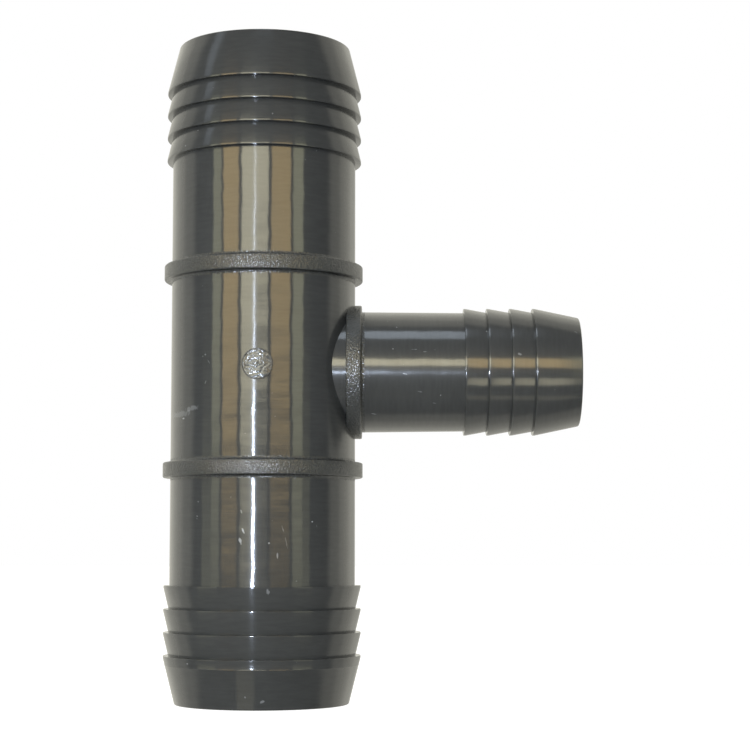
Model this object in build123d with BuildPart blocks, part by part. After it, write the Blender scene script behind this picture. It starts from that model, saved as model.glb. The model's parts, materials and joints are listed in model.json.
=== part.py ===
from build123d import *
from dataclasses import dataclass
import os

# A reducing barbed tee for polyethylene irrigation pipe, in millimetres.
# The run stands along Z and the smaller branch leaves along +X. The origin is where
# their axes cross. The real tee is one moulding: its walls are cut here into rings
# that meet face to face, with one ring for each collar, shank and barb.

# ---- Driving dimensions ----

# The run takes 1-1/2 in pipe, 40.9 mm inside.
run_bore_radius = 17.15
run_shank_radius = 19.84
run_valley_radius = 19.98
run_crest_radius = 21.08
run_rim_radius = 18.58
run_collar_radius = 21.47
run_collar_start = 19.65
run_end = 70.87
run_nose_length = 10.27
run_barb_pitch = 4.94

# The branch takes 1 in pipe, 26.6 mm inside.
branch_bore_radius = 10.4
branch_neck_radius = 12.75
branch_shank_root_radius = 13.0
branch_shank_radius = 12.8
branch_valley_radius = 12.86
branch_crest_radius = 13.7
branch_rim_radius = 11.7
branch_collar_radius = 14.42
branch_collar_start = 18.1
branch_end = 68.0
branch_nose_length = 9.9
branch_barb_pitch = 4.95

# Details that all three hose tails share
collar_thickness = 3.2
collar_edge_round = 0.3
foot_round = 0.5
foot_length = 0.7
rim_round = 0.25
crest_land = 0.4
barbs_per_tail = 4

# The injection point leaves a low round scar on the barrel's front.
gate_radius = 3.25
gate_height = 0.2


@dataclass
class Tail:
    """One hose tail: where it is, and the radii and lengths of its half section."""

    name: str
    plane: Plane  # local x leaves the tail's axis, local y runs out along the tail
    axis: Axis
    bore_radius: float
    shank_root_radius: float
    shank_radius: float
    valley_radius: float
    crest_radius: float
    rim_radius: float
    collar_radius: float
    collar_start: float
    end: float
    nose_length: float
    barb_pitch: float

    @property
    def collar_end(self):
        return self.collar_start + collar_thickness

    @property
    def shank_start(self):
        return self.collar_end + foot_length

    def shoulder(self, barb):
        """How far out a barb's square shoulder is. Barb 1 is the outermost."""
        return self.end - self.nose_length - (barb - 1) * self.barb_pitch


def run_tail(name, plane):
    """One of the two equal tails of the run."""
    return Tail(
        name=name,
        plane=plane,
        axis=Axis.Z,
        bore_radius=run_bore_radius,
        shank_root_radius=run_shank_radius,
        shank_radius=run_shank_radius,
        valley_radius=run_valley_radius,
        crest_radius=run_crest_radius,
        rim_radius=run_rim_radius,
        collar_radius=run_collar_radius,
        collar_start=run_collar_start,
        end=run_end,
        nose_length=run_nose_length,
        barb_pitch=run_barb_pitch,
    )


upper = run_tail("upper", Plane(origin=(0, 0, 0), x_dir=(1, 0, 0), z_dir=(0, -1, 0)))
lower = run_tail("lower", Plane(origin=(0, 0, 0), x_dir=(1, 0, 0), z_dir=(0, 1, 0)))
branch = Tail(
    name="branch",
    plane=Plane(origin=(0, 0, 0), x_dir=(0, 0, 1), z_dir=(0, 1, 0)),
    axis=Axis.X,
    bore_radius=branch_bore_radius,
    shank_root_radius=branch_shank_root_radius,
    shank_radius=branch_shank_radius,
    valley_radius=branch_valley_radius,
    crest_radius=branch_crest_radius,
    rim_radius=branch_rim_radius,
    collar_radius=branch_collar_radius,
    collar_start=branch_collar_start,
    end=branch_end,
    nose_length=branch_nose_length,
    barb_pitch=branch_barb_pitch,
)


def save(piece, name):
    """Label a finished sub-part and write it as one STEP file."""
    piece.part.label = name
    export_step(piece.part, f"parts/{name}.step")


def run_barrel():
    """The middle of the run, with the round port where the branch's flow joins."""
    half_length = run_collar_start - foot_length
    with BuildPart() as barrel:
        with BuildSketch(Plane.XY.offset(-half_length)):
            Circle(run_shank_radius)
            Circle(run_bore_radius, mode=Mode.SUBTRACT)
        extrude(amount=2 * half_length)
        with BuildSketch(Plane.YZ):
            Circle(branch_bore_radius)
        extrude(amount=2 * run_shank_radius, mode=Mode.SUBTRACT)
    return barrel


def run_stop_collar(tail):
    """A ring of the run's wall with the flange that stops the pipe, rounded at both feet."""
    with BuildPart() as collar:
        with BuildSketch(tail.plane) as section:
            with BuildLine():
                Polyline(
                    (tail.bore_radius, tail.collar_start - foot_length),
                    (tail.shank_radius, tail.collar_start - foot_length),
                    (tail.shank_radius, tail.collar_start),
                    (tail.collar_radius, tail.collar_start),
                    (tail.collar_radius, tail.collar_end),
                    (tail.shank_radius, tail.collar_end),
                    (tail.shank_radius, tail.shank_start),
                    (tail.bore_radius, tail.shank_start),
                    close=True,
                )
            make_face()
            feet = section.vertices().group_by(Axis.X)[1].sort_by(Axis.Y)[1:3]
            fillet(feet, radius=foot_round)
            fillet(section.vertices().group_by(Axis.X)[-1], radius=collar_edge_round)
        revolve(axis=tail.axis)
    return collar


def branch_neck():
    """The short tube that joins the run's outside, under the branch's stop collar."""
    with BuildPart() as neck:
        with BuildSketch(Plane.YZ):
            Circle(branch_neck_radius)
            Circle(branch_bore_radius, mode=Mode.SUBTRACT)
        extrude(amount=branch.shank_start)
        Cylinder(run_shank_radius, 2 * run_collar_start, mode=Mode.SUBTRACT)
    return neck


def branch_stop_collar():
    """The branch's flange, a ring around the neck that runs into the barrel above and below."""
    with BuildPart() as collar:
        with BuildSketch(branch.plane) as section:
            with BuildLine():
                Polyline(
                    (branch_neck_radius, branch.collar_start),
                    (branch.collar_radius, branch.collar_start),
                    (branch.collar_radius, branch.collar_end),
                    (branch.shank_root_radius, branch.collar_end),
                    (branch.shank_root_radius, branch.shank_start),
                    (branch_neck_radius, branch.shank_start),
                    close=True,
                )
            make_face()
            foot = section.vertices().group_by(Axis.X)[1].sort_by(Axis.Y)[0]
            fillet(foot, radius=foot_round)
            fillet(section.vertices().group_by(Axis.X)[-1], radius=collar_edge_round)
        revolve(axis=branch.axis)
        Cylinder(run_shank_radius, 2 * run_collar_start, mode=Mode.SUBTRACT)
    return collar


def shank(tail):
    """The plain stretch where the clamp closes, from the collar's foot to the last barb."""
    with BuildPart() as ring:
        with BuildSketch(tail.plane):
            with BuildLine():
                Polyline(
                    (tail.bore_radius, tail.shank_start),
                    (tail.shank_root_radius, tail.shank_start),
                    (tail.shank_radius, tail.shoulder(barbs_per_tail)),
                    (tail.bore_radius, tail.shoulder(barbs_per_tail)),
                    close=True,
                )
            make_face()
        revolve(axis=tail.axis)
    return ring


def barb(tail, number):
    """A ring with a square shoulder, a narrow crest and a ramp down to the next barb."""
    start = tail.shoulder(number)
    with BuildPart() as ring:
        with BuildSketch(tail.plane):
            with BuildLine():
                Polyline(
                    (tail.bore_radius, start),
                    (tail.crest_radius, start),
                    (tail.crest_radius, start + crest_land),
                    (tail.valley_radius, start + tail.barb_pitch),
                    (tail.bore_radius, start + tail.barb_pitch),
                    close=True,
                )
            make_face()
        revolve(axis=tail.axis)
    return ring


def nose_barb(tail):
    """The outermost barb, whose long ramp runs down to the tail's rounded rim."""
    start = tail.shoulder(1)
    with BuildPart() as ring:
        with BuildSketch(tail.plane) as section:
            with BuildLine():
                Polyline(
                    (tail.bore_radius, start),
                    (tail.crest_radius, start),
                    (tail.crest_radius, start + crest_land),
                    (tail.rim_radius, tail.end),
                    (tail.bore_radius, tail.end),
                    close=True,
                )
            make_face()
            fillet(section.vertices().group_by(Axis.Y)[-1], radius=rim_round)
        revolve(axis=tail.axis)
    return ring


def gate_mark():
    """A low round scar that follows the barrel's curve."""
    with BuildPart() as mark:
        with BuildSketch(Plane.XZ):
            Circle(gate_radius)
        extrude(amount=2 * run_shank_radius)
        Cylinder(run_shank_radius + gate_height, 2 * run_collar_start, mode=Mode.INTERSECT)
        Cylinder(run_shank_radius, 2 * run_collar_start, mode=Mode.SUBTRACT)
    return mark


os.makedirs("parts", exist_ok=True)

save(run_barrel(), "run_barrel")
save(gate_mark(), "gate_mark")
save(branch_neck(), "branch_neck")
save(branch_stop_collar(), "branch_stop_collar")
for tail in (upper, lower):
    save(run_stop_collar(tail), f"{tail.name}_stop_collar")
for tail in (upper, lower, branch):
    save(shank(tail), f"{tail.name}_shank")
    save(nose_barb(tail), f"{tail.name}_barb_1")
    for number in range(2, barbs_per_tail + 1):
        save(barb(tail, number), f"{tail.name}_barb_{number}")
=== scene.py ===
"""A dark grey moulded barbed tee for irrigation pipe, standing on its end in a plain studio."""

import json
import math

import bpy
from mathutils import Matrix, Vector


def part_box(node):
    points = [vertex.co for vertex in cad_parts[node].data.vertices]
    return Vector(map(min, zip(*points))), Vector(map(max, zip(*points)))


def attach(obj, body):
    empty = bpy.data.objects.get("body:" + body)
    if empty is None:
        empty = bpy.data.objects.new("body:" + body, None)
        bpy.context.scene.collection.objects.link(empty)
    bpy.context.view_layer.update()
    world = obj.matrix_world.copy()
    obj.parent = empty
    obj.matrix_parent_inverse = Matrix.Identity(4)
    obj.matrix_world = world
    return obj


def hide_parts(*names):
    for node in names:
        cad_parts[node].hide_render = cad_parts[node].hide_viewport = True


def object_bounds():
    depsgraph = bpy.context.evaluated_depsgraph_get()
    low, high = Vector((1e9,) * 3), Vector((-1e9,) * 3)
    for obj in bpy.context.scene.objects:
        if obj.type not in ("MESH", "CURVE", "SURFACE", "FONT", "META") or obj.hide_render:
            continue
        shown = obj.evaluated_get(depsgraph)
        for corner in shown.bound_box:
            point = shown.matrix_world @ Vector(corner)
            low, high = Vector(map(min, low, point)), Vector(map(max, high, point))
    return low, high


MM = 0.001

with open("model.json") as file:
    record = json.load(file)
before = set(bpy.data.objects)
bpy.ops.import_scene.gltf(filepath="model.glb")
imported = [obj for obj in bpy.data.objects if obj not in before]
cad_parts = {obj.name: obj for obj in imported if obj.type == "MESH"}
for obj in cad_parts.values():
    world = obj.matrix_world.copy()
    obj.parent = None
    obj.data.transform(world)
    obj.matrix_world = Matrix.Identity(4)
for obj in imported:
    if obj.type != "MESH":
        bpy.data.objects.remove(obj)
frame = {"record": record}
cad_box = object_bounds()
mounts = {mount["name"]: mount["dims"] for mount in frame["record"]["mounts"]}

# ---- Turning and moulding details, in metres ----

SIDES = 256  # flats round each turned piece
CORNER_STEPS = 4  # flats round each rounded corner
SAME_CIRCLE = 0.01 * MM  # how near an edge's ends lie to the circle they are on
SAME_HEIGHT = 0.005 * MM
SMOOTH_UP_TO = math.radians(32)  # corners sharper than this stay crisp
BARBS_PER_TAIL = 4
FOOT_LENGTH = 0.7 * MM  # of tube on a collar's piece, for the round at its foot
FOOT_ROUND = 0.5 * MM
BRANCH_FOOT_ROUND = 0.15 * MM
COLLAR_ROUND = 0.3 * MM
RIM_ROUND = 0.25 * MM
CREST_LAND = 0.4 * MM  # the narrow straight top of a barb
CREST_ROUND = 0.02 * MM
RUN_RIM_DROP = 2.5 * MM  # from the crest's radius to the rim's
BRANCH_RIM_DROP = 2.0 * MM
VALLEY_STEP = 0.14 * MM  # from the shank's radius to the foot of a barb's ramp
SHANK_DRAFT = 0.2 * MM  # how much thinner the branch's shank is where the barbs begin
PORT_ZONE = 12 * MM  # how far the barrel's middle section reaches each way, round the port
BED = 0.02 * MM  # how far the branch's pieces sink into the barrel
WITNESS_DROP = 2.0 * MM  # from the lower nose's crest to the ring left by the mould's insert
WITNESS_HEIGHT = 0.05 * MM
WITNESS_REACH = 0.1 * MM  # from the ring's top to each of its feet
SCAR_THICKNESS = 0.8 * MM
SCAR_RIM = 0.22 * MM
SCAR_DEPTH = 0.10 * MM
SCAR_RELIEF = 0.032 * MM
SCAR_FLATS = 96
SCAR_RINGS = 34  # rings of faces across the scar's sunk part


# ---- The tee's measures, read from the frame ----

LAY_DOWN = Matrix.Rotation(math.pi, 4, "Y")  # turns an upper piece into its lower twin
LAY_RIGHT = Matrix.Rotation(math.pi / 2, 4, "Y")  # lays an upright piece along the branch

run_bore = mounts["run_bore"]["r_mm"] * MM
run_crest = mounts["upper_hose_tail"]["r_mm"] * MM
run_rim = run_crest - RUN_RIM_DROP
run_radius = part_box("run_barrel")[1].y
run_valley = run_radius + VALLEY_STEP
branch_bore = mounts["branch_bore"]["r_mm"] * MM
branch_crest = mounts["branch_hose_tail"]["r_mm"] * MM
branch_rim = branch_crest - BRANCH_RIM_DROP
branch_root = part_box("branch_shank")[1].y
branch_shank_end = branch_root - SHANK_DRAFT
branch_valley = branch_root - VALLEY_STEP
neck_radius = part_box("branch_neck")[1].y
scar_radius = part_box("gate_mark")[1].x


def span(node, axis):
    """Where a CAD node begins and ends along X or Z."""
    low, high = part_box(node)
    return getattr(low, axis), getattr(high, axis)


# ---- Modelling by operators ----


def deselect_all():
    """Leave nothing selected and nothing being edited."""
    if bpy.context.object and bpy.context.object.mode != "OBJECT":
        bpy.ops.object.mode_set(mode="OBJECT")
    bpy.ops.object.select_all(action="DESELECT")


def pick(piece):
    """Select this piece alone and make it the active one."""
    deselect_all()
    piece.select_set(True)
    bpy.context.view_layer.objects.active = piece


def select_parts(piece, kind, wanted):
    """In edit mode, select only the vertices, edges or faces for which wanted(element) is true."""
    bpy.ops.mesh.select_mode(type=kind)
    bpy.ops.mesh.select_all(action="DESELECT")
    bpy.ops.object.mode_set(mode="OBJECT")
    elements = {"VERT": piece.data.vertices, "EDGE": piece.data.edges, "FACE": piece.data.polygons}[kind]
    for element in elements:
        element.select = wanted(element)
    bpy.ops.object.mode_set(mode="EDIT")


def on_circle(piece, height, radius):
    """A test for the edges of the circle about Z that has this height and radius."""

    def test(edge):
        for index in edge.vertices:
            place = piece.data.vertices[index].co
            if abs(place.z - height) > SAME_CIRCLE:
                return False
            if abs(math.hypot(place.x, place.y) - radius) > SAME_CIRCLE:
                return False
        return True

    return test


def is_cap(height):
    """A test for the round end face at this height."""
    return lambda face: len(face.vertices) > 4 and abs(face.center.z - height) < SAME_HEIGHT


def scale_cap(factor, height):
    """Scale the selected cap about the turning axis."""
    bpy.ops.transform.resize(value=(factor, factor, 1), center_override=(0, 0, height))


def turn_ring(name, stations, bore_radius):
    """A ring of wall about Z, drawn out of a cylinder from station to station, then bored through.

    Each station is (height, radius), from the bottom up.
    """
    deselect_all()
    (bottom, bottom_radius), (height, radius) = stations[:2]
    bpy.ops.mesh.primitive_cylinder_add(
        vertices=SIDES,
        radius=bottom_radius,
        depth=height - bottom,
        location=(0, 0, (bottom + height) / 2),
    )
    piece = bpy.context.object
    piece.name = piece.data.name = name
    bpy.ops.object.transform_apply(location=True, rotation=True, scale=True)
    bpy.ops.object.mode_set(mode="EDIT")
    select_parts(piece, "FACE", is_cap(height))
    scale_cap(radius / bottom_radius, height)
    for next_height, next_radius in stations[2:]:
        rise = (0, 0, next_height - height)
        bpy.ops.mesh.extrude_region_move(TRANSFORM_OT_translate={"value": rise})
        scale_cap(next_radius / radius, next_height)
        height, radius = next_height, next_radius
    bore_through(piece, ((bottom, bottom_radius), (height, radius)), bore_radius)
    bpy.ops.object.mode_set(mode="OBJECT")
    return piece


def bore_through(piece, caps, bore_radius):
    """Open both end caps at the bore's radius and join the two mouths with a wall."""
    for height, radius in caps:
        select_parts(piece, "FACE", is_cap(height))
        bpy.ops.mesh.inset(thickness=(radius - bore_radius) * math.cos(math.pi / SIDES))
        bpy.ops.mesh.delete(type="FACE")
    mouths = [on_circle(piece, height, bore_radius) for height, radius in caps]
    select_parts(piece, "EDGE", lambda edge: mouths[0](edge) or mouths[1](edge))
    bpy.ops.mesh.bridge_edge_loops()
    bpy.ops.mesh.select_all(action="SELECT")
    bpy.ops.mesh.normals_make_consistent(inside=False)


def round_corner(piece, height, radius, width, segments=CORNER_STEPS):
    """Round the circular corner at this height and radius, whether it stands out or in."""
    pick(piece)
    bpy.ops.object.mode_set(mode="EDIT")
    select_parts(piece, "EDGE", on_circle(piece, height, radius))
    bpy.ops.mesh.bevel(offset=width, segments=segments, affect="EDGES")
    bpy.ops.object.mode_set(mode="OBJECT")


def round_crest(piece, height, radius, crisp):
    """Round a barb's crest where it meets the shoulder, or only break its edge if it is crisp."""
    round_corner(piece, height, radius, CREST_ROUND, segments=1 if crisp else 2)


def apply_modifier(piece, kind, **settings):
    """Add a modifier with these settings and apply it."""
    pick(piece)
    bpy.ops.object.modifier_add(type=kind)
    modifier = piece.modifiers[-1]
    for key, value in settings.items():
        setattr(modifier, key, value)
    bpy.ops.object.modifier_apply(modifier=modifier.name)


def cut_away(piece, cutter):
    """Subtract the cutter from the piece and remove it."""
    apply_modifier(piece, "BOOLEAN", operation="DIFFERENCE", solver="EXACT", object=cutter)
    bpy.data.objects.remove(cutter)


def plug(name, radius, length, place, turn=(0, 0, 0)):
    """A plain cylinder used only as a cutter."""
    deselect_all()
    bpy.ops.mesh.primitive_cylinder_add(
        vertices=SIDES, radius=radius, depth=length, location=place, rotation=turn
    )
    bpy.context.object.name = name
    return bpy.context.object


def placed_copy(piece, name, move):
    """A copy with its own mesh, moved or turned to its place."""
    pick(piece)
    bpy.ops.object.duplicate(linked=False)
    copy = bpy.context.object
    copy.name = copy.data.name = name
    copy.matrix_world = move
    bpy.ops.object.transform_apply(location=True, rotation=True, scale=True)
    return copy


def finish_piece(piece, node, material):
    """Shade the piece, give it its finish, and let it stand for its CAD node."""
    pick(piece)
    bpy.ops.object.shade_smooth_by_angle(angle=SMOOTH_UP_TO)
    piece.data.materials.clear()
    piece.data.materials.append(material)
    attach(piece, "root")
    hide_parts(node)


# ---- Shader wiring ----


class Wire:
    """One output of a shader node. Arithmetic on it adds Math nodes."""

    def __init__(self, board, socket):
        self.board = board
        self.socket = socket

    def combine(self, operation, first, second):
        """A Math node that works on two wires or numbers."""
        return self.board.node("Math", {"operation": operation}, {0: first, 1: second})

    def __add__(self, other):
        return self.combine("ADD", self, other)

    def __sub__(self, other):
        return self.combine("SUBTRACT", self, other)

    def __mul__(self, other):
        return self.combine("MULTIPLY", self, other)


class Board:
    """A node tree being wired up."""

    def __init__(self, owner):
        owner.use_nodes = True
        self.tree = owner.node_tree
        self.tree.nodes.clear()

    def node(self, kind, settings=None, inputs=None, output=0):
        """Add a shader node: its settings first, then the values or wires of its sockets."""
        made = self.tree.nodes.new(f"ShaderNode{kind}")
        for key, value in (settings or {}).items():
            setattr(made, key, value)
        for key, value in (inputs or {}).items():
            if isinstance(value, Wire):
                self.tree.links.new(value.socket, made.inputs[key])
            else:
                made.inputs[key].default_value = value
        return Wire(self, made.outputs[output]) if made.outputs else None

    def object_place(self):
        """The place on the piece, in metres."""
        return self.node("TexCoord", output="Object")

    def coordinate(self, letter):
        """One coordinate of the place on the piece, in millimetres."""
        apart = self.node("SeparateXYZ", inputs={"Vector": self.object_place()}, output=letter)
        return apart * (1 / MM)

    def stretched(self, scale):
        """The place on the piece, scaled by a different amount along each axis."""
        return self.node("Mapping", inputs={"Vector": self.object_place(), "Scale": scale})

    def grain(self, scale, detail=2.0, roughness=0.5):
        """Noise from 0 to 1 whose grains per metre along X, Y and Z are given by scale."""
        return self.node(
            "TexNoise",
            inputs={"Vector": self.stretched(scale), "Scale": 1.0, "Detail": detail, "Roughness": roughness},
        )

    def ramp(self, value, low, high, to_low=0.0, to_high=1.0):
        """Ease value from the range low..high to to_low..to_high."""
        return self.node(
            "MapRange",
            {"interpolation_type": "SMOOTHSTEP"},
            {"Value": value, "From Min": low, "From Max": high, "To Min": to_low, "To Max": to_high},
        )

    def blend(self, factor, first, second):
        """Blend two colours."""
        return self.node(
            "Mix", {"data_type": "RGBA"}, {"Factor": factor, 6: first, 7: second}, output=2
        )

    def bump(self, height_mm):
        """Relief of this many millimetres."""
        return self.node("Bump", inputs={"Height": height_mm, "Strength": 1.0, "Distance": MM})

    def surface(self, shader):
        """Let this shader be the material's surface."""
        self.node("OutputMaterial", inputs={"Surface": shader})


# ---- Finishes ----

PVC_GREY = (0.042, 0.043, 0.0405, 1.0)
PVC_GREY_WORN = (0.052, 0.053, 0.0500, 1.0)
PVC_GREY_SPARKED = (0.056, 0.057, 0.052, 1.0)
PVC_GREY_SCARRED = (0.100, 0.102, 0.098, 1.0)
PVC_CHIPPED = (0.50, 0.51, 0.51, 1.0)
# Painted shade: a near-black colour for the scar's groove and its nicks.
PAINTED_SHADE = (0.012, 0.012, 0.012, 1.0)
PVC_IOR = 1.53
ALONG_AXIS = 0.25  # the turn of a smear that lies along the tube instead of round it

# Heights of relief, in millimetres

WAVE_RELIEF = 0.12
RIPPLE_RELIEF = 0.010
RING_RELIEF = 0.009
GRIT_RELIEF = 0.04
PIT_RELIEF = 0.19

# What is added to the roughness where the surface is so marked

PATCH_ROUGHNESS = 0.015
CHIP_ROUGHNESS = 0.25
SPARK_ROUGHNESS = 0.06

# Wear on the -Y side. Each mark is its centre's x and z, its half-width and half-height, all in
# millimetres, how far its foot leans to the right for each millimetre down, and its strength.

RUN_MARKS = [
    (-16.6, -9.8, 2.6, 0.7, -0.45, 0.12),
    (-14.0, -8.8, 1.5, 0.6, -0.45, 0.16),
    (-16.0, -10.8, 0.35, 0.18, 0, 0.5),
    (-3.1, -30.5, 0.16, 0.5, 0.3, 0.22),
    (-2.8, -34.3, 0.24, 0.6, 0.35, 0.6),
    (-3.3, -36.4, 0.28, 0.9, 0.2, 0.45),
    (5.4, -34.0, 0.14, 0.9, 0.3, 0.16),
    (6.1, -36.8, 0.14, 1.2, 0.2, 0.10),
    (4.3, -39.3, 0.16, 0.8, 0, 0.30),
    (2.6, -36.9, 0.20, 0.2, 0, 0.4),
    (2.5, -46.9, 0.40, 0.7, 0, 0.22),
    (1.4, -69.0, 0.50, 0.3, -0.8, 0.25),
    (11.3, -32.5, 0.14, 0.14, 0, 0.8),
    (-12.6, -31.3, 0.14, 0.14, 0, 0.8),
    (-11.0, 2.2, 0.20, 0.22, 0, 0.22),
    (-10.3, 0.7, 0.10, 0.5, 0.6, 0.16),
    (-10.9, -3.5, 0.16, 0.4, -0.4, 0.14),
]

# The scar's nicks, coloured near black as painted shade in the cuts.
SCAR_NICKS = [
    (-1.7, 0.75, 0.60, 0.20, 1.0, 1.0),
    (-2.1, -0.35, 0.75, 0.17, 1.0, 1.0),
]

BRANCH_MARKS = [
    (32.7, 3.7, 0.8, 0.08, 0, 0.25),
    (34.8, 3.2, 0.5, 0.10, 0, 0.18),
    (36.8, 3.6, 0.3, 0.10, 0, 0.22),
    (28.0, 3.8, 0.12, 0.12, 0, 0.35),
    (28.8, 8.7, 0.12, 0.12, 0, 0.50),
    (30.5, -1.5, 0.4, 0.16, 3.0, 0.45),
    (33.8, -5.2, 0.4, 0.16, 3.0, 0.18),
    (38.0, -5.9, 0.12, 0.12, 0, 0.50),
    (36.8, -7.5, 0.4, 0.12, 3.0, 0.12),
    (23.9, -9.6, 0.4, 0.14, 3.0, 0.20),
    (54.6, 2.6, 0.40, 0.30, 0.5, 0.25),
    (47.8, 7.7, 0.14, 0.14, 0, 0.40),
]


def turned_scale(axis, across, lengthways):
    """Grains per metre, across the axis and along it, for a tube that lies along X or Z."""
    return (lengthways, across, across) if axis == "X" else (across, across, lengthways)


def marks_on_front(board, marks):
    """How far each place is covered by these marks, from 0 to 1. Their outlines are ragged."""
    x, z = board.coordinate("X"), board.coordinate("Z")
    raggedness = 3.2
    ragged = board.grain((2200, 2200, 1500), detail=3.0) * raggedness - raggedness / 2
    cover = 0.0
    for centre_x, centre_z, half_width, half_height, lean, strength in marks:
        down = z - centre_z
        sideways = (x - centre_x + down * lean) * (1 / half_width)
        down = down * (1 / half_height)
        outwards = sideways * sideways + down * down + ragged
        cover = board.ramp(outwards, 1.0, 0.3, 0.0, strength) + cover
    front_only = board.ramp(board.coordinate("Y"), -1.0, -2.0)
    return cover * front_only


def gloss_pvc(name, axis, roughness, smear, haze, haze_roughness, marks):
    """Glossy PVC from a turned mould, whose fine rings smear reflections along the tube's axis.

    A little haze round the brightest reflections comes from a faint, rougher coat.
    """
    material = bpy.data.materials.new(name)
    board = Board(material)
    waves = board.grain(turned_scale(axis, 90, 200), detail=1.5) * WAVE_RELIEF
    ripple = board.grain(turned_scale(axis, 260, 700), detail=2.0) * RIPPLE_RELIEF
    rings = board.grain(turned_scale(axis, 30, 2400), detail=3.0, roughness=0.6) * RING_RELIEF
    patches = board.ramp(board.grain((130, 130, 130), detail=4.0), 0.4, 0.8)
    streaks = board.ramp(board.grain(turned_scale(axis, 260, 1500), detail=3.0), 0.3, 0.7)
    specks = board.ramp(board.grain((800, 800, 800), detail=1.0), 0.785, 0.84, 0.0, 0.25)
    worn = patches * 0.4 + streaks * 0.5
    chipped = marks_on_front(board, marks) + specks
    plain = board.blend(worn, PVC_GREY, PVC_GREY_WORN)
    board.surface(
        board.node(
            "BsdfPrincipled",
            inputs={
                "Base Color": board.blend(chipped, plain, PVC_CHIPPED),
                "Roughness": patches * PATCH_ROUGHNESS + roughness + chipped * CHIP_ROUGHNESS,
                "IOR": PVC_IOR,
                "Coat Weight": haze,
                "Coat Roughness": haze_roughness,
                "Anisotropic": smear,
                "Anisotropic Rotation": ALONG_AXIS,
                "Tangent": board.node("Tangent", {"direction_type": "RADIAL", "axis": axis}),
                "Normal": board.bump(waves + ripple + rings),
            },
        )
    )
    return material


def rough_gloss_pvc(name):
    """The scar's PVC: glossy and gritty, with painted shade in the groove round its edge and in its nicks.
    """
    material = bpy.data.materials.new(name)
    board = Board(material)
    grit = board.grain((2600, 2600, 2600), detail=3.0)
    x, z = board.coordinate("X"), board.coordinate("Z")
    edge = scar_radius / MM
    groove_out, groove_in = edge - 0.08, edge - 0.26
    # Painted shade: the groove round the edge and the nicks take the near-black colour, the rest the plain
    # one.
    inside = board.ramp(x * x + z * z, groove_out**2, groove_in**2)
    unshaded = inside - inside * marks_on_front(board, SCAR_NICKS)
    plain = board.blend(board.ramp(grit, 0.35, 0.7), PVC_GREY, PVC_GREY_SCARRED)
    board.surface(
        board.node(
            "BsdfPrincipled",
            inputs={
                "Base Color": board.blend(unshaded, PAINTED_SHADE, plain),
                "Roughness": board.ramp(unshaded, 0.0, 1.0, 0.6, 0.17),
                "IOR": PVC_IOR,
                "Normal": board.bump(grit * GRIT_RELIEF),
            },
        )
    )
    return material


def textured_pvc(name):
    """Spark-textured PVC, matt with a fine sparkle outside and smooth in the bore."""
    material = bpy.data.materials.new(name)
    board = Board(material)
    x, y = board.coordinate("X"), board.coordinate("Y")
    bore = run_bore / MM
    outside = board.ramp(x * x + y * y, (bore + 0.5) ** 2, (bore + 1) ** 2)
    pits = board.grain((2700, 2700, 2700), detail=2.0)
    sparked = board.blend(board.ramp(pits, 0.3, 0.7), PVC_GREY, PVC_GREY_SPARKED)
    board.surface(
        board.node(
            "BsdfPrincipled",
            inputs={
                "Base Color": board.blend(outside, PVC_GREY, sparked),
                "Roughness": outside * SPARK_ROUGHNESS + 0.16,
                "IOR": PVC_IOR,
                "Normal": board.bump(pits * outside * PIT_RELIEF),
            },
        )
    )
    return material


run_gloss = gloss_pvc(
    "run_gloss_pvc", "Z", roughness=0.14, smear=0.92, haze=0.06, haze_roughness=0.25, marks=RUN_MARKS
)
branch_gloss = gloss_pvc(
    "branch_gloss_pvc", "X", roughness=0.18, smear=0.75, haze=0.25, haze_roughness=0.35, marks=BRANCH_MARKS
)
scar_gloss = rough_gloss_pvc("scar_gloss_pvc")
collar_texture = textured_pvc("collar_texture_pvc")


# ---- The run ----


def make_barrel():
    """The middle of the run, with the branch's port cut through one side."""
    low, high = span("run_barrel", "z")
    heights = (low, -PORT_ZONE, PORT_ZONE, high)
    barrel = turn_ring("barrel", [(height, run_radius) for height in heights], run_bore)
    place, turn = (run_radius, 0, 0), (0, math.pi / 2, 0)
    cut_away(barrel, plug("port_cutter", branch_bore, run_radius * 2, place, turn))
    finish_piece(barrel, "run_barrel", run_gloss)


def make_run_collars():
    """The two stop collars of the run, with filled feet and rounded edges."""
    low, high = span("upper_stop_collar", "z")
    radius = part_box("upper_stop_collar")[1].y
    face, back = low + FOOT_LENGTH, high - FOOT_LENGTH
    stations = [
        (low, run_radius),
        (face, run_radius),
        (face, radius),
        (back, radius),
        (back, run_radius),
        (high, run_radius),
    ]
    collar = turn_ring("upper_collar", stations, run_bore)
    for height in (face, back):
        round_corner(collar, height, run_radius, FOOT_ROUND)
        round_corner(collar, height, radius, COLLAR_ROUND)
    lower = placed_copy(collar, "lower_collar", LAY_DOWN)
    finish_piece(collar, "upper_stop_collar", collar_texture)
    finish_piece(lower, "lower_stop_collar", collar_texture)


def make_run_shanks():
    """The two plain lengths that the clamps close on."""
    low, high = span("upper_shank", "z")
    shank = turn_ring("upper_shank_skin", [(low, run_radius), (high, run_radius)], run_bore)
    lower = placed_copy(shank, "lower_shank_skin", LAY_DOWN)
    finish_piece(shank, "upper_shank", run_gloss)
    finish_piece(lower, "lower_shank", run_gloss)


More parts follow.
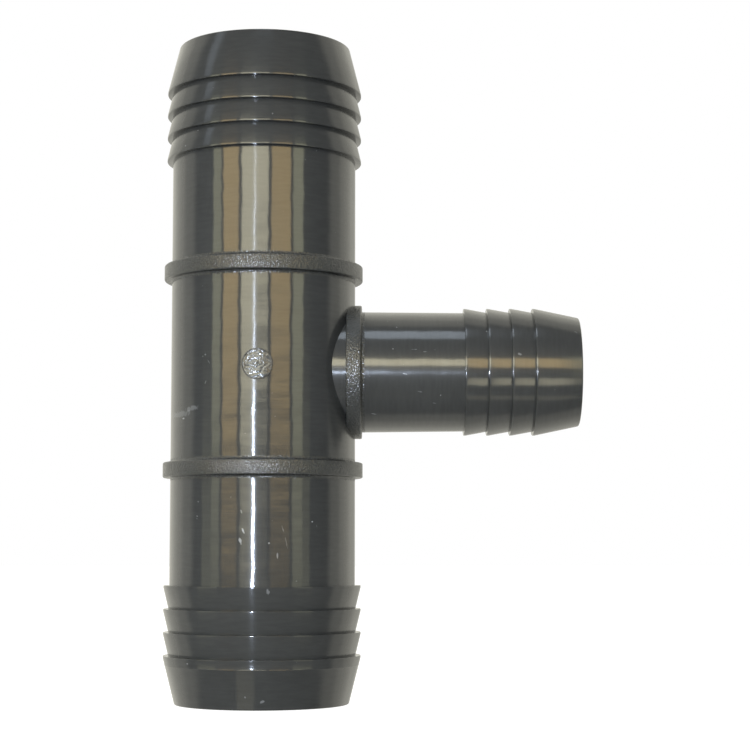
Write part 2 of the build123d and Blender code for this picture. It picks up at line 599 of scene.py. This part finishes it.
def make_nose(name, low, high, crest, rim, bore, marked=False):
    """The outermost barb, whose long ramp runs down to the rounded rim.

    A marked nose has a crisp crest and the fine ring that the mould's insert leaves.
    """
    stations = [(low, crest), (low + CREST_LAND, crest), (high, rim)]
    if marked:
        slope = (crest - rim) / (high - low - CREST_LAND)
        ramp = crest - slope * (WITNESS_DROP - CREST_LAND)
        ring = [(-WITNESS_REACH, 0), (0, WITNESS_HEIGHT), (WITNESS_REACH, 0)]
        middle = low + WITNESS_DROP
        stations[2:2] = [(middle + step, ramp - slope * step + proud) for step, proud in ring]
    nose = turn_ring(name, stations, bore)
    round_crest(nose, low, crest, marked)
    round_corner(nose, high, rim, RIM_ROUND)
    round_corner(nose, high, bore, RIM_ROUND)
    return nose


def make_barb(name, low, high, crest, valley, bore, crisp=False):
    """A square shoulder, a narrow crest and a ramp down to the next barb."""
    barb = turn_ring(name, [(low, crest), (low + CREST_LAND, crest), (high, valley)], bore)
    round_crest(barb, low, crest, crisp)
    return barb


def make_run_barbs():
    """The four barbs at each end of the run. The lower ones have crisper crests."""
    low, high = span("upper_barb_1", "z")
    nose = make_nose("upper_nose", low, high, run_crest, run_rim, run_bore)
    marked_nose = make_nose("marked_nose", low, high, run_crest, run_rim, run_bore, marked=True)
    lower_nose = placed_copy(marked_nose, "lower_nose", LAY_DOWN)
    bpy.data.objects.remove(marked_nose)
    low, high = span("upper_barb_2", "z")
    barb = make_barb("upper_ring_2", low, high, run_crest, run_valley, run_bore)
    crisp_barb = make_barb("crisp_ring", low, high, run_crest, run_valley, run_bore, crisp=True)
    pieces = {"upper_barb_1": nose, "lower_barb_1": lower_nose, "upper_barb_2": barb}
    moves = {}
    for number in range(2, BARBS_PER_TAIL + 1):
        step = span(f"upper_barb_{number}", "z")[0] - low
        moves[number] = Matrix.Translation((0, 0, step))
    for number in range(3, BARBS_PER_TAIL + 1):
        upper = placed_copy(barb, f"upper_ring_{number}", moves[number])
        pieces[f"upper_barb_{number}"] = upper
    for number, move in moves.items():
        lower = placed_copy(crisp_barb, f"lower_ring_{number}", LAY_DOWN @ move)
        pieces[f"lower_barb_{number}"] = lower
    bpy.data.objects.remove(crisp_barb)
    for node, piece in pieces.items():
        finish_piece(piece, node, run_gloss)


# ---- The gate scar ----


def group_within(piece, name, radius):
    """Put the vertices of the upward face that lie within this radius of Z in a vertex group."""
    hair = 0.001 * MM

    def wanted(vertex):
        return vertex.co.z > -hair and vertex.co.xy.length < radius + hair

    select_parts(piece, "VERT", wanted)
    bpy.ops.object.vertex_group_assign_new()
    piece.vertex_groups[-1].name = name


def swirl_texture():
    """Broken rings, as where molten plastic has curled round."""
    texture = bpy.data.textures.new("swirl", "WOOD")
    texture.wood_type = "RINGNOISE"
    texture.noise_basis_2 = "SIN"
    texture.noise_scale = 0.35
    texture.turbulence = 9
    return texture


def grit_texture():
    """Fine lumps over the swirls."""
    texture = bpy.data.textures.new("grit", "CLOUDS")
    texture.noise_scale = 0.22
    texture.noise_depth = 2
    return texture


def make_gate_scar():
    """The round pad where the mould was filled: a fine rim round a sunk, swirled face.

    It is built face up, turned to face -Y, and then wrapped on to the barrel.
    """
    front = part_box("gate_mark")[0].y
    shrink = math.cos(math.pi / SCAR_FLATS)  # insets are measured to the flats, radii to the corners
    deselect_all()
    bpy.ops.mesh.primitive_cylinder_add(
        vertices=SCAR_FLATS,
        radius=scar_radius,
        depth=SCAR_THICKNESS,
        location=(0, 0, -SCAR_THICKNESS / 2),
    )
    scar = bpy.context.object
    scar.name = scar.data.name = "scar"
    bpy.ops.object.transform_apply(location=True, rotation=True, scale=True)
    bpy.ops.object.mode_set(mode="EDIT")
    select_parts(scar, "FACE", is_cap(0))
    bpy.ops.mesh.inset(thickness=SCAR_RIM * shrink)
    bpy.ops.mesh.inset(thickness=SCAR_DEPTH / 2 * shrink)
    face_radius = scar_radius - SCAR_RIM - SCAR_DEPTH / 2
    for _ in range(SCAR_RINGS - 1):
        bpy.ops.mesh.inset(thickness=face_radius / SCAR_RINGS * shrink)
    bpy.ops.mesh.poke()
    group_within(scar, "skin", scar_radius)
    group_within(scar, "face", face_radius)
    bpy.ops.object.mode_set(mode="OBJECT")
    scar.matrix_world = Matrix.Translation((0, front, 0)) @ Matrix.Rotation(math.pi / 2, 4, "X")
    bpy.ops.object.transform_apply(location=True, rotation=True, scale=True)
    wrap_on_barrel(scar, "skin", -front)
    apply_modifier(
        scar, "DISPLACE", direction="Y", mid_level=0, strength=SCAR_DEPTH, vertex_group="face"
    )
    curl_centre = (-0.5 * MM, front, 0.6 * MM)
    for texture, relief in ((swirl_texture(), SCAR_RELIEF), (grit_texture(), SCAR_RELIEF / 2)):
        curl = place_marker(curl_centre, scar_radius)
        apply_modifier(
            scar,
            "DISPLACE",
            direction="Y",
            strength=relief,
            vertex_group="face",
            texture=texture,
            texture_coords="OBJECT",
            texture_coords_object=curl,
        )
        bpy.data.objects.remove(curl)
    finish_piece(scar, "gate_mark", scar_gloss)


def place_marker(place, size):
    """An empty that a texture takes its centre and its scale from."""
    deselect_all()
    bpy.ops.object.empty_add(location=place)
    marker = bpy.context.object
    marker.scale = (size, size, size)
    bpy.context.view_layer.update()
    return marker


def wrap_on_barrel(piece, group, radius):
    """Slide the group's vertices along Y on to a cylinder of this radius about the run's axis."""
    form = plug("barrel_form", radius, 4 * radius, (0, 0, 0))
    apply_modifier(
        piece,
        "SHRINKWRAP",
        target=form,
        wrap_method="PROJECT",
        use_project_x=False,
        use_project_y=True,
        use_project_z=False,
        use_negative_direction=True,
        use_positive_direction=True,
        project_limit=radius / 4,
        vertex_group=group,
    )
    bpy.data.objects.remove(form)


# ---- The branch, turned upright and then laid along X ----


def lay_along_branch(piece):
    """Swing an upright turned piece down on to the branch's axis."""
    pick(piece)
    piece.matrix_world = LAY_RIGHT
    bpy.ops.object.transform_apply(location=True, rotation=True, scale=True)


def barrel_cutter():
    """The barrel's outside, a hair smaller, so that what it cuts beds into the barrel."""
    return plug("barrel_cutter", run_radius - BED, 4 * run_radius, (0, 0, 0))


def make_branch_neck():
    """The short tube from the barrel to under the branch's collar, saddled on to the barrel."""
    high = span("branch_neck", "x")[1]
    low = run_radius / 2
    neck = turn_ring("neck", [(low, neck_radius), (high, neck_radius)], branch_bore)
    lay_along_branch(neck)
    cut_away(neck, barrel_cutter())
    finish_piece(neck, "branch_neck", branch_gloss)


def make_branch_collar():
    """The branch's stop collar, whose back beds into the barrel's sides."""
    low, high = span("branch_stop_collar", "x")
    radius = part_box("branch_stop_collar")[1].y
    back = high - FOOT_LENGTH
    collar = turn_ring(
        "branch_collar",
        [(low, radius), (back, radius), (back, branch_root), (high, branch_root)],
        neck_radius,
    )
    round_corner(collar, low, radius, COLLAR_ROUND)
    round_corner(collar, back, radius, COLLAR_ROUND)
    round_corner(collar, back, branch_root, BRANCH_FOOT_ROUND)
    lay_along_branch(collar)
    cut_away(collar, barrel_cutter())
    finish_piece(collar, "branch_stop_collar", collar_texture)


def make_branch_shank():
    """The branch's plain length, a little thinner towards its barbs."""
    low, high = span("branch_shank", "x")
    stations = [(low, branch_root), (high, branch_shank_end)]
    shank = turn_ring("branch_shank_skin", stations, branch_bore)
    lay_along_branch(shank)
    finish_piece(shank, "branch_shank", branch_gloss)


def make_branch_barbs():
    """The branch's four barbs."""
    low, high = span("branch_barb_1", "x")
    nose = make_nose("branch_nose", low, high, branch_crest, branch_rim, branch_bore)
    lay_along_branch(nose)
    low, high = span("branch_barb_2", "x")
    barb = make_barb("branch_ring_2", low, high, branch_crest, branch_valley, branch_bore)
    lay_along_branch(barb)
    pieces = {"branch_barb_1": nose, "branch_barb_2": barb}
    for number in range(3, BARBS_PER_TAIL + 1):
        step = span(f"branch_barb_{number}", "x")[0] - low
        move = Matrix.Translation((step, 0, 0))
        pieces[f"branch_barb_{number}"] = placed_copy(barb, f"branch_ring_{number}", move)
    for node, piece in pieces.items():
        finish_piece(piece, node, branch_gloss)


make_barrel()
make_run_collars()
make_run_shanks()
make_run_barbs()
make_gate_scar()
make_branch_neck()
make_branch_collar()
make_branch_shank()
make_branch_barbs()

# ---- The studio ----

STUDIO_RADIUS = 1.5
FLOOR_SIZE = 8
CAMERA_PLACE = (0.02684, -0.41105, -0.03881)
CAMERA_PITCH = math.radians(5.316)  # up from level
CAMERA_SWING = math.radians(0.376)  # to the left of straight ahead
CAMERA_LENS = 91.6  # millimetres, on a sensor 36 mm wide
FLASH_LEFT = -56 * MM  # the lamps beside the camera, from the run's axis
FLASH_BACK = -411 * MM
FLASH_COLOUR = (0.69, 0.80, 1.0)
FLASH_WIDTH = 10 * MM
FLASH_FOOT = -44 * MM
FLASH_HEAD = -34 * MM
TUBE_WIDTH = 5 * MM
LOW_TUBE_HEAD = 85 * MM
HIGH_TUBE_HEAD = 127 * MM
WHITE = (1.0, 1.0, 1.0, 1.0)
WALL_WHITE = (1.14, 1.12, 0.99, 1.0)
ROOM_BELOW = (0.23, 0.23, 0.22, 1.0)
ROOM_ABOVE = (0.18, 0.18, 0.18, 1.0)


def make_floor():
    """A plain pale floor that only the camera sees, so that it doesn't light the piece from below."""
    deselect_all()
    bpy.ops.mesh.primitive_plane_add(size=FLOOR_SIZE, location=(0, 0, cad_box[0].z))
    floor = bpy.context.object
    floor.name = "studio_floor"
    material = bpy.data.materials.new("pale_floor")
    board = Board(material)
    board.surface(
        board.node(
            "BsdfPrincipled",
            inputs={
                "Base Color": (0.5, 0.5, 0.5, 1.0),
                "Roughness": 1.0,
                "Specular IOR Level": 0.0,
                "Emission Color": WHITE,
                "Emission Strength": 0.9,
            },
        )
    )
    floor.data.materials.append(material)
    floor.visible_glossy = False
    floor.visible_diffuse = False


def make_world():
    """White to the camera. To the piece, a bright wall behind it and a dim room in front.

    The wall is darker in the middle, so that what grazes the tee's edges doesn't glare.
    """
    world = bpy.data.worlds.new("studio")
    bpy.context.scene.world = world
    board = Board(world)
    direction = board.node("TexCoord", output="Generated")
    sideways = board.node("SeparateXYZ", inputs={"Vector": direction}, output="X")
    backwards = board.node("SeparateXYZ", inputs={"Vector": direction}, output="Y")
    upwards = board.node("SeparateXYZ", inputs={"Vector": direction}, output="Z")

    # The wall comes up in two steps from the sides to the back, and is a little darker low down.
    wall = board.ramp(backwards, -0.04, 0.16) * 0.72 + board.ramp(backwards, 0.34, 0.46) * 0.28
    wall = wall * board.ramp(upwards, -0.6, 0.1, 0.82, 1.0)
    dimmed = board.ramp(backwards, 0.78, 0.97) * board.ramp(sideways, -0.3, 0.3, 0.25, 0.5)
    wall = wall - wall * dimmed

    front = board.blend(board.ramp(upwards, -0.1, 0.0), ROOM_BELOW, ROOM_ABOVE)
    room = board.blend(wall, front, WALL_WHITE)
    seen = board.node("LightPath", output="Is Camera Ray")
    colour = board.blend(seen, room, WHITE)
    background = board.node("Background", inputs={"Color": colour})
    board.node("OutputWorld", inputs={"Surface": background})


def soft_box(name, width, height, colour, brightness):
    """A rectangular light whose face has this brightness, whatever its size."""
    light = bpy.data.lights.new(name, "AREA")
    light.shape = "RECTANGLE"
    light.size = width
    light.size_y = height
    light.color = colour
    light.energy = brightness * math.pi * light.size * light.size_y
    lamp = bpy.data.objects.new(name, light)
    bpy.context.scene.collection.objects.link(lamp)
    return lamp


def panel(name, azimuths, elevations, colour, brightness):
    """A soft box that fills this window of directions, in degrees, from the origin.

    Azimuth 0 is towards the camera's side, -Y, and grows towards +X.
    """
    azimuth = math.radians(sum(azimuths) / 2)
    elevation = math.radians(sum(elevations) / 2)
    width = 2 * STUDIO_RADIUS * math.tan(math.radians(azimuths[1] - azimuths[0]) / 2)
    height = 2 * STUDIO_RADIUS * math.tan(math.radians(elevations[1] - elevations[0]) / 2)
    lamp = soft_box(name, width, height, colour, brightness)
    lamp.rotation_euler = (math.pi / 2 - elevation, 0, azimuth)
    direction = Vector(
        (
            math.cos(elevation) * math.sin(azimuth),
            -math.cos(elevation) * math.cos(azimuth),
            math.sin(elevation),
        )
    )
    lamp.location = STUDIO_RADIUS * direction
    return lamp


def collection_of(name, pieces):
    """A collection that a light can be limited to."""
    group = bpy.data.collections.new(name)
    for piece in pieces:
        group.objects.link(bpy.data.objects[piece])
    return group


def make_strips():
    """Warm strips in front and cool ones overhead and to the left, seen only as reflections.

    The two low ones on the right are for the branch's barbs alone.
    """
    tan = (1.0, 0.72, 0.31)
    beige = (1.0, 0.93, 0.66)
    green_tan = (1.0, 0.98, 0.64)
    cool = (0.76, 0.87, 1.0)
    strips = [
        panel("far_left", (-62, -50.8), (2.0, 23), green_tan, 2.4),
        panel("left", (-47.6, -28.4), (2.0, 23), tan, 4.8),
        panel("middle", (-24.3, -8), (2.0, 23), beige, 6.8),
        panel("middle_right", (-8, 8.4), (7.5, 20), beige, 7.9),
        panel("right", (12.6, 36.2), (3.6, 19.5), tan, 4.9),
        panel("far_right", (39.8, 53), (2.0, 23), green_tan, 2.7),
        panel("low_far_left", (-76, -50.8), (-12, 2), green_tan, 0.8),
        panel("low_far_right", (39.8, 63), (-12, 2), green_tan, 0.9),
        panel("low_left", (-30, -12), (-55, -34), beige, 0.6),
        panel("low_right", (16, 40), (-28, -15.5), beige, 3.6),
        panel("lowest_right", (20, 50), (-53, -47), beige, 0.9),
        panel("overhead", (-8, 8), (62, 80), cool, 4.0),
        panel("window_left", (-76, -67), (25, 55), cool, 1.1),
    ]
    rings = [f"branch_ring_{number}" for number in range(2, BARBS_PER_TAIL + 1)]
    barb_pieces = collection_of("branch_barb_pieces", ["branch_nose", *rings])
    for strip in strips:
        strip.visible_diffuse = False
        if strip.name in ("low_right", "lowest_right"):
            strip.light_linking.receiver_collection = barb_pieces


def make_fill():
    """Neutral light with no reflection of its own."""
    fill = panel("fill", (-60, 20), (-22, 42), (1.0, 1.0, 0.98), 2.1)
    fill.visible_glossy = False


def lamp_beside_camera(name, width, foot, head, brightness):
    """An upright cool light this wide, from the foot's height to the head's, left of the camera."""
    lamp = soft_box(name, width, head - foot, FLASH_COLOUR, brightness)
    lamp.location = (FLASH_LEFT, FLASH_BACK, (foot + head) / 2)
    lamp.rotation_euler = (math.pi / 2, 0, 0)
    return lamp


def make_flash():
    """A small hard light, two slim tubes that carry its line up the run, and one for the collars."""
    lamp_beside_camera("flash", FLASH_WIDTH, FLASH_FOOT, FLASH_HEAD, 2450)
    lamp_beside_camera("low_tube", TUBE_WIDTH, FLASH_HEAD, LOW_TUBE_HEAD, 34)
    lamp_beside_camera("high_tube", TUBE_WIDTH, LOW_TUBE_HEAD, HIGH_TUBE_HEAD, 14.5)
    sparkle = lamp_beside_camera("sparkle", FLASH_WIDTH, FLASH_FOOT, FLASH_HEAD, 3600)
    sparkle.visible_diffuse = False
    collars = collection_of("collars", ("upper_collar", "lower_collar", "branch_collar"))
    sparkle.light_linking.receiver_collection = collars


def make_camera():
    """A low camera a little to the right of the run, tilted up at the piece."""
    camera = bpy.data.cameras.new("camera")
    camera.sensor_width = 36
    camera.lens = CAMERA_LENS
    holder = bpy.data.objects.new("camera", camera)
    bpy.context.scene.collection.objects.link(holder)
    holder.location = CAMERA_PLACE
    holder.rotation_euler = (math.pi / 2 + CAMERA_PITCH, 0, CAMERA_SWING)
    bpy.context.scene.camera = holder


make_floor()
make_world()
make_strips()
make_fill()
make_flash()
make_camera()
bpy.context.scene.view_settings.view_transform = "Standard"
